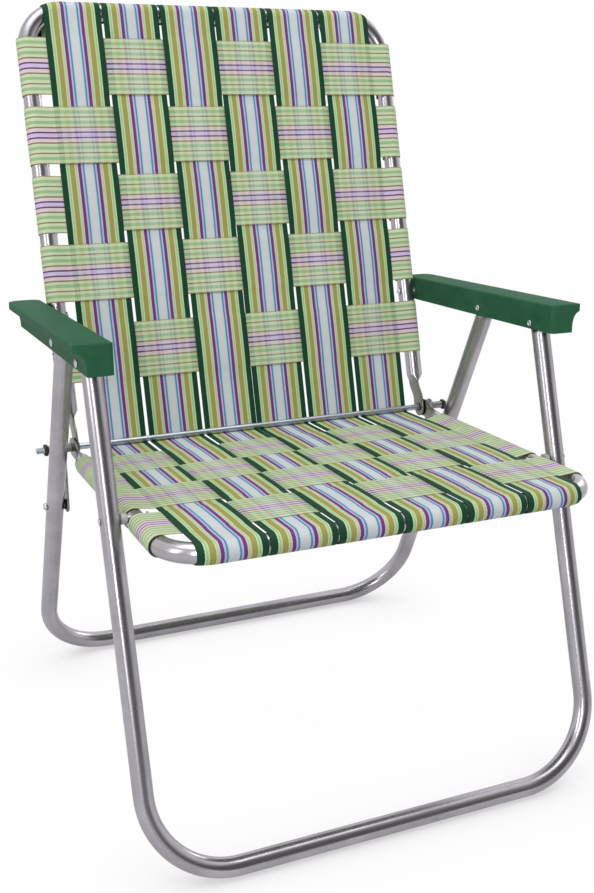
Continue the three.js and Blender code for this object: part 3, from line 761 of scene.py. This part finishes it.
def makeArm(word, mirror):
    a, outline = armrest, armOutline()
    middle, turn = frontTop.lerp(rearTop, 0.5), -math.radians(a["slope"])
    lengthwise = Vector((math.cos(turn), math.sin(turn)))
    start = (frontTop - middle).dot(lengthwise) - a["frontReach"]
    stop = (rearTop - middle).dot(lengthwise) + a["rearReach"]
    lip = stop - a["rearLip"]
    outer, under, top = skirtOut + a["overhang"], a["top"] - a["flange"], a["top"] + a["crown"]

    def place(x, y, z):
        return Vector((mirror * x, middle.x + y * math.cos(turn) - z * math.sin(turn),
                       middle.y + y * math.sin(turn) + z * math.cos(turn))) * mm

    # stations along the arm; past the lip only the overhanging top goes on
    stations = [(start + d, False) for d in cornerSteps(a["frontCorner"], a["frontSteps"])]
    stations += [(mix(start, lip, (i + 1) / a["bays"]), False) for i in range(a["bays"])] + [(lip, True)]
    stations += [(stop - d, True) for d in reversed(cornerSteps(a["rearCorner"], a["rearSteps"]))]
    points = []
    for y, past in stations:
        inset = max(cornerBack(y - start, a["frontCorner"]), cornerBack(stop - y, a["rearCorner"]))
        drop = max(cornerBack(y - start, a["edgeRound"]), cornerBack(stop - y, a["edgeRound"]))
        low = under if past else a["bottom"] + a["rearRise"] * (y - start) / (lip - start)
        for x, z in outline:
            x = min(max(x, armIn + inset), outer - inset)
            points.append(place(x, y, min(max(z, low), top - drop)))
    name, faces = "armrestShell" + word.capitalize(), loftFaces(len(stations), len(outline))
    arm = makePiece(name, points, faces, greenArm, a["crease"])
    wallIn, wallOut, roof = armIn + chair["armWall"], skirtIn, a["top"] - a["topThick"]
    section = ((wallIn, a["cutBelow"]), (wallOut, a["cutBelow"]), (wallOut, roof), (wallIn, roof))
    cutHollow(arm, [place(x, y, z) for y in (start + a["endWall"], lip - a["endWall"]) for x, z in section])
    fitPiece(arm, "armrest_" + word, "armrest_" + word, "arm_plastic")


makeArm("left", -1)
makeArm("right", 1)
print("armrests made")

# webbing: strips swept along their paths, woven over and under each other, ends folded back and screwed on
# slip moves a loose end sideways, drift is each strap's wander at the top bar, the rod and the front bar
webbing = {"thick": 0.9, "strapWide": stripedWeb["wide"], "strapPitch": paleWeb["below"], "straps": 6,
           "bandWide": paleWeb["wide"], "rise": 0.7, "crown": 0.45, "softBack": 9.0, "softSeat": 5.0,
           "softBand": 4.5, "bandLead": 3.0, "blendBefore": 9.0, "cornerReach": 60.0, "cornerHigh": 25.0,
           "cornerFrom": 5.0, "steepest": 0.8, "crease": 60,
           "backRows": [72.5, 159.8, 247.1, 334.4], "lowRow": 117.0, "seatRows": [74.0, 163.7, 236.6, 309.5],
           "drift": [(-0.3, -1.6, 0.4), (-0.2, 0.2, 0.3), (0.0, 1.2, -0.2),
                     (-0.4, -0.6, 0.6), (0.2, 0.4, -0.4), (0.6, 1.6, -0.8)]}
tail = {"turn": 252.0, "back": 188.0, "lift": 1.05, "hang": 30.0, "slip": {0: -7.0, 5: 12.0}, "slipFrom": 4,
        "slipTo": 20, "foldSteps": 10, "wrapSteps": 34, "closeSteps": 12,
        "fold": [(2.6, 0.85), (3.4, 0.5), (2.6, 0.15)]}
stripSteps = {"across": 12, "along": 3.2, "band": 190, "lead": 6, "rod": 12,
              "edge": [(0.0, 0.25), (0.006, 0.62), (0.02, 0.9)], "inner": 0.05}
wrapR = chair["tubeR"] + chair["gap"] + webbing["thick"] / 2
rodWrapR = hardware["rodR"] + chair["gap"] + webbing["thick"] / 2
backRows = webbing["backRows"] + [backPlane["length"] - webbing["lowRow"]]
seatRows = webbing["seatRows"]


def strapX(column):
    return (column - (webbing["straps"] - 1) / 2) * webbing["strapPitch"]


def sheetHigh(plane, s):
    return mix(wrapR, plane["off"] - rodWrapR, s / plane["length"])


def weaveHigh(place, centres, half, signs, soft):
    high = 0.0
    for centre, sign in zip(centres, signs):
        d = place - centre
        window = ease(-half - soft / 2, -half + soft / 2, d) * (1 - ease(half - soft / 2, half + soft / 2, d))
        rise = webbing["rise"] + (webbing["crown"] * max(0.0, 1 - (d / half) ** 2) if sign > 0 else 0.0)
        high += sign * rise * window
    return high


# tail behind a tube: the end is folded back on itself; angles are from the front of the tube
def tailArc(fromTurn=0.0):
    t, far = tail, wrapR + tail["lift"]
    path = [onTurn(mix(t["back"], t["turn"], i / t["foldSteps"]), far) for i in range(t["foldSteps"] + 1)]
    path += [onTurn(t["turn"] + past, wrapR + t["lift"] * share) for past, share in t["fold"]]
    wrap = range(t["wrapSteps"] + 1)
    return path + [onTurn(mix(t["turn"], fromTurn, i / t["wrapSteps"]), wrapR) for i in wrap]


# the two outer straps leave a loose end hanging behind the top bar
def hangingTail():
    t, far = tail, wrapR + tail["lift"]
    path = [(t["hang"] * (1 - i / t["foldSteps"]), -far) for i in range(t["foldSteps"] + 1)]
    for i in range(1, t["wrapSteps"] + 1):
        path.append(onTurn(180 * (1 - i / t["wrapSteps"]), mix(far, wrapR, ease(0, t["closeSteps"], i))))
    return path


def strapHalf(plane, rows, column, soft):
    signs = [1 if (column + row) % 2 == 0 else -1 for row in range(len(rows))]
    path = hangingTail() if plane is backPlane and column in tail["slip"] else tailArc()
    steps = int(plane["length"] / stripSteps["along"])
    for i in range(1, steps + 1):
        s = plane["length"] * i / steps
        path.append((s, sheetHigh(plane, s) + weaveHigh(s, rows, webbing["bandWide"] / 2, signs, soft)))
    return [sidePlace(plane, s, n) for s, n in path]


# ring of a strip: the place across it and the share of its thickness, over the top and back underneath
def stripRing():
    edge, count, inner = stripSteps["edge"], stripSteps["across"], stripSteps["inner"]
    row = edge + [(mix(inner, 1 - inner, i / (count - 1)), 1.0) for i in range(count)]
    row += [(1 - u, k) for u, k in reversed(edge)]
    return row + [(u, -k) for u, k in reversed(row)]


# sweeps a strip along its path; place puts each point of a ring into the room
def sweepStrip(name, path, wide, place, look):
    ring = stripRing()
    points, across, along = [], [], []
    lengths = [0.0]
    for a, b in zip(path, path[1:]):
        lengths.append(lengths[-1] + (b - a).length)
    for i, p in enumerate(path):
        step = (path[min(i + 1, len(path) - 1)] - path[max(i - 1, 0)]).normalized()
        normal = Vector((step.y, -step.x)) * (webbing["thick"] / 2)
        for u, k in ring:
            points.append(place(p, normal * k, (u - 0.5) * wide, i))
            across.append(float(u))
            along.append(float((lengths[i] - lengths[-1] / 2) * mm))
    faces = loftFaces(len(path), len(ring))
    piece = makePiece(name, points, faces, look, webbing["crease"], {"across": across, "along": along})
    return piece, lengths[-1]


# how far a frame's bar has curved away at x, and how steeply
def barDrop(x, bend):
    past = min(abs(x) - (chair["hingeSpan"] - bend), bend * webbing["steepest"])
    if past <= 0:
        return 0.0, 1.0
    return bend - math.sqrt(bend ** 2 - past ** 2), math.sqrt(1 - (past / bend) ** 2)


# lets a strap follow the bent corner of its frame
def roundCorner(plane, bend, x, q):
    w = webbing
    s, n = sideToPlane(plane, q)
    drop, lean = barDrop(x, bend)
    if not drop or s >= w["cornerReach"] or abs(n) >= w["cornerHigh"]:
        return q
    fade = 1 - ease(w["cornerFrom"], w["cornerReach"], s)
    return sidePlace(plane, (s / lean if s < 0 else s) + drop * fade, n)


# the strap's short way under the rod, from the back to the seat
def rodArc(first, last):
    turnFrom, turnTo = math.atan2(first.y, first.x), math.atan2(last.y, last.x)
    turnTo -= 2 * math.pi * round((turnTo - turnFrom) / (2 * math.pi))
    turns = [mix(turnFrom, turnTo, i / stripSteps["rod"]) for i in range(1, stripSteps["rod"])]
    return [rodSide + Vector((math.cos(a), math.sin(a))) * rodWrapR for a in turns]


def blendPlace(plane):
    p = sidePlace(plane, plane["length"] - webbing["blendBefore"], sheetHigh(plane, plane["length"]))
    return 0, p.x * mm, p.y * mm


def makeStrap(column):
    w = webbing
    back = strapHalf(backPlane, backRows, column, w["softBack"])
    seat = strapHalf(seatPlane, seatRows, column, w["softSeat"])
    path = back + rodArc(back[-1] - rodSide, seat[-1] - rodSide) + seat[::-1]
    atTop, atRod, atFront = w["drift"][column]
    slip = tail["slip"].get(column, 0.0)

    def place(p, shift, off, index):
        loose = slip * (1 - ease(tail["slipFrom"], tail["slipTo"], index))
        drift = mix(atTop, atRod, min(index / len(back), 1))
        drift += (atFront - atRod) * ease(len(back), len(path), index)
        x = strapX(column) + loose + drift + off
        q = roundCorner(backPlane, tubeShape["bends"]["back_frame"], x, p + shift)
        q = roundCorner(seatPlane, tubeShape["bends"]["seat_frame"], x, q)
        return Vector((x, q.x, q.y)) * mm

    piece, long = sweepStrip(f"strap{column + 1}", path, w["strapWide"], place, stripedLook)
    blendPlace(backPlane)
    blendPlace(seatPlane)
    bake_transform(piece)
    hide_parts(f"back_strap_{column + 1}", f"seat_strap_{column + 1}")
    return long


# a band's path as (x, height), from tail to tail; it leaves each tube on a straight line to the first strap
def bandPath(plane, row, signs):
    w, span, lead, count = webbing, chair["hingeSpan"], stripSteps["lead"], stripSteps["band"]
    columns = [strapX(c) for c in range(w["straps"])]

    def high(x):
        return sheetHigh(plane, row) + weaveHigh(x, columns, w["strapWide"] / 2, signs, w["softBand"])

    edge = columns[0] - w["strapWide"] / 2 - w["bandLead"]
    run, flatHigh = span - abs(edge), high(edge)
    straight = math.acos(min(1.0, wrapR / math.hypot(run, flatHigh)))
    leave = math.degrees(math.atan2(run, flatHigh) - straight)
    arc = [Vector((x - span, n)) for x, n in tailArc(-leave)]
    left = arc + [arc[-1].lerp(Vector((edge, flatHigh)), i / lead) for i in range(1, lead + 1)]
    right = arc + [arc[-1].lerp(Vector((edge, high(-edge))), i / lead) for i in range(1, lead + 1)]
    across = [mix(edge, -edge, i / count) for i in range(1, count)]
    return left + [Vector((x, high(x))) for x in across] + [Vector((-p.x, p.y)) for p in reversed(right)]


def makeBand(part, plane, index, row):
    w = webbing
    signs = [-1 if (column + index) % 2 == 0 else 1 for column in range(w["straps"])]
    path = [Vector((p.x, -p.y)) for p in bandPath(plane, row, signs)]  # turned over, so its normal points out

    def place(p, shift, off, step):
        q = p + shift
        return inPlane(plane, q.x, row + off, -q.y)

    piece, long = sweepStrip(f"{part}Band{index + 1}", path, w["bandWide"], place, paleLook)
    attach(piece, part)
    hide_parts(f"{part}_band_{index + 1}")
    return long


strapLong = [makeStrap(c) for c in range(webbing["straps"])]
bandLong = [makeBand("back", backPlane, i, row) for i, row in enumerate(backRows)]
bandLong += [makeBand("seat", seatPlane, i, row) for i, row in enumerate(seatRows)]
print("webbing woven: straps", round(strapLong[0]), "mm, bands", round(bandLong[0]), "mm")

# hex washer screws through the folded ends
screw = {"turn": 222.0, "washerR": 5.6, "washerHigh": 1.0, "washerEdge": 0.6, "washerSides": 28,
         "bore": 0.2, "headFlats": 7.0, "headHigh": 3.4, "headEdge": 0.5, "headInset": 0.7,
         "headMiddle": 0.3, "crease": 30}


def addScrew(points, faces, foot, axis, lift):
    s = screw
    a = axis.normalized()
    b = a.orthogonal().normalized()
    c = a.cross(b)
    hexR = s["headFlats"] / math.sqrt(3)
    seat, edge = lift + s["washerHigh"], s["washerEdge"]
    top = seat + s["headHigh"]
    washer = [(lift, s["bore"]), (lift, s["washerR"]), (lift + edge, s["washerR"]),
              (seat, s["washerR"] - edge), (seat, s["bore"])]
    head = [(seat, hexR), (top - s["headEdge"], hexR), (top, hexR - s["headInset"]), (top, s["headMiddle"])]
    for sides, profile in ((s["washerSides"], washer), (6, head)):
        first = len(points)
        for high, r in profile:
            for i in range(sides):
                turn = 2 * math.pi * i / sides
                points.append(foot + (a * high + (b * math.cos(turn) + c * math.sin(turn)) * r) * mm)
        faces += loftFaces(len(profile), sides, first)


def makeScrews(part, plane, rows):
    points, faces = [], []
    lift = wrapR + tail["lift"] + webbing["thick"] / 2
    behind, below = onTurn(screw["turn"], lift)
    for column in range(webbing["straps"]):
        foot = inPlane(plane, strapX(column), 0, 0)
        addScrew(points, faces, foot, inPlane(plane, strapX(column), behind, below) - foot, lift)
    for row in rows:
        for way in (-1, 1):
            foot = inPlane(plane, way * chair["hingeSpan"], row, 0)
            aim = inPlane(plane, way * (chair["hingeSpan"] - behind), row, below)
            addScrew(points, faces, foot, aim - foot, lift)
    piece = makePiece(part + "Screws", points, faces, smallLook["screwZinc"], screw["crease"])
    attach(piece, part)


makeScrews("back", backPlane, backRows)
makeScrews("seat", seatPlane, seatRows)
print("screws made")

# pale floor and soft studio light; the room that metal mirrors is given by its brightness round the chair,
# from the side away from the camera
studio = {"floorSize": 30.0, "floorDrop": 0.0005, "floor": (0.58, 0.58, 0.59, 1), "floorRough": 0.9,
          "white": (1, 1, 1, 1), "sky": (0.97, 0.98, 1.0, 1), "skyStrength": 0.74,
          "shadeReach": 0.09, "underBar": 0.5, "open": 0.985, "inMetal": 0.3,
          "cameraSide": (-0.41, -0.911, 0.0), "cameraRight": (0.911, -0.41, 0.0),
          "room": [(0.0, 0.92), (0.24, 0.92), (0.36, 0.76), (0.45, 0.7), (0.515, 0.62),
                   (0.54, 0.13), (0.655, 0.11), (0.7, 0.55), (0.76, 0.95), (1.0, 0.92)]}
lamps = {"overhead": {"place": (-0.3, -0.2, 3.2), "aim": (0, 0, 0.3), "size": (2.6, 2.6), "power": 44},
         "strip": {"place": (-1.62, -2.5, 1.5), "aim": (0, 0, 0.45), "size": (0.34, 1.9), "power": 19},
         "leftFill": {"place": (-2.9, -0.9, 1.6), "aim": (0, 0, 0.5), "size": (0.8, 1.8), "power": 15},
         "rightRim": {"place": (2.6, 1.2, 1.8), "aim": (0, 0, 0.5), "size": (1.2, 1.6), "power": 12}}


def mixShader(tree, share, first, second):
    node = tree.nodes.new("ShaderNodeMixShader")
    feed(tree, node.inputs[0], share)
    tree.links.new(first.outputs[0], node.inputs[1])
    tree.links.new(second.outputs[0], node.inputs[2])
    return node


# light path node, and whether a surface mirrored the ray or let it through
def rayKinds(tree):
    path = tree.nodes.new("ShaderNodeLightPath")
    return path, calc(tree, "MAXIMUM", path.outputs["Is Glossy Ray"], path.outputs["Is Transmission Ray"])


def makeFloor():
    half = studio["floorSize"] / 2
    corners = [(-half, -half, 0), (half, -half, 0), (half, half, 0), (-half, half, 0)]
    mesh = bpy.data.meshes.new("floor")
    mesh.from_pydata(corners, [], [(0, 1, 2, 3)])
    floor = addObject("floor", mesh)
    floor.location.z = -studio["floorDrop"]
    look, tree, shader = startLook("paleFloor", studio["floorRough"])
    shader.inputs["Base Color"].default_value = studio["floor"]
    glow = tree.nodes.new("ShaderNodeEmission")
    glow.inputs["Color"].default_value = studio["white"]
    path, bounce = rayKinds(tree)
    # near the chair the floor's white lift drops with ambient occlusion: a painted contact shadow round the
    # bars, on top of the lamps' real shadow
    near = tree.nodes.new("ShaderNodeAmbientOcclusion")
    near.inputs["Distance"].default_value = studio["shadeReach"]
    clear = ramp(tree, near.outputs["AO"], [(0.45, studio["underBar"]), (0.98, studio["open"])])
    seen = calc(tree, "MULTIPLY", path.outputs["Is Camera Ray"], clear)
    share = calc(tree, "MAXIMUM", seen, calc(tree, "MULTIPLY", bounce, studio["inMetal"]))
    both = mixShader(tree, share, shader, glow)
    out = next(n for n in tree.nodes if n.type == "OUTPUT_MATERIAL")
    tree.links.new(both.outputs[0], out.inputs[0])
    mesh.materials.append(look)


def makeWorld():
    world = bpy.data.worlds.new("studio")
    scene.world = world
    world.use_nodes = True
    tree = world.node_tree
    tree.nodes.clear()
    light, white, room = (tree.nodes.new("ShaderNodeBackground") for _ in range(3))
    light.inputs[0].default_value = studio["sky"]
    light.inputs[1].default_value = studio["skyStrength"]
    white.inputs[0].default_value = studio["white"]
    place = tree.nodes.new("ShaderNodeTexCoord").outputs["Generated"]
    parts = []
    for key in ("cameraRight", "cameraSide"):
        node = tree.nodes.new("ShaderNodeVectorMath")
        node.operation = "DOT_PRODUCT"
        feed(tree, node.inputs[0], place)
        node.inputs[1].default_value = studio[key]
        parts.append(node.outputs["Value"])
    around = calc(tree, "MULTIPLY_ADD", calc(tree, "ARCTAN2", *parts), 0.5 / math.pi, 0.5)
    feed(tree, room.inputs[0], ramp(tree, around, studio["room"]))
    path, bounce = rayKinds(tree)
    mirrored = mixShader(tree, bounce, light, room)
    shown = mixShader(tree, path.outputs["Is Camera Ray"], mirrored, white)
    out = tree.nodes.new("ShaderNodeOutputWorld")
    tree.links.new(shown.outputs[0], out.inputs[0])


def makeLamps():
    for name, lamp in lamps.items():
        data = bpy.data.lights.new(name, "AREA")
        data.shape = "RECTANGLE"
        data.energy = lamp["power"]
        data.size, data.size_y = lamp["size"]
        light = addObject(name, data)
        light.location = lamp["place"]
        aim = Vector(lamp["aim"]) - Vector(lamp["place"])
        light.rotation_euler = aim.to_track_quat("-Z", "Y").to_euler()


makeFloor()
makeWorld()
makeLamps()
print("floor and light set")
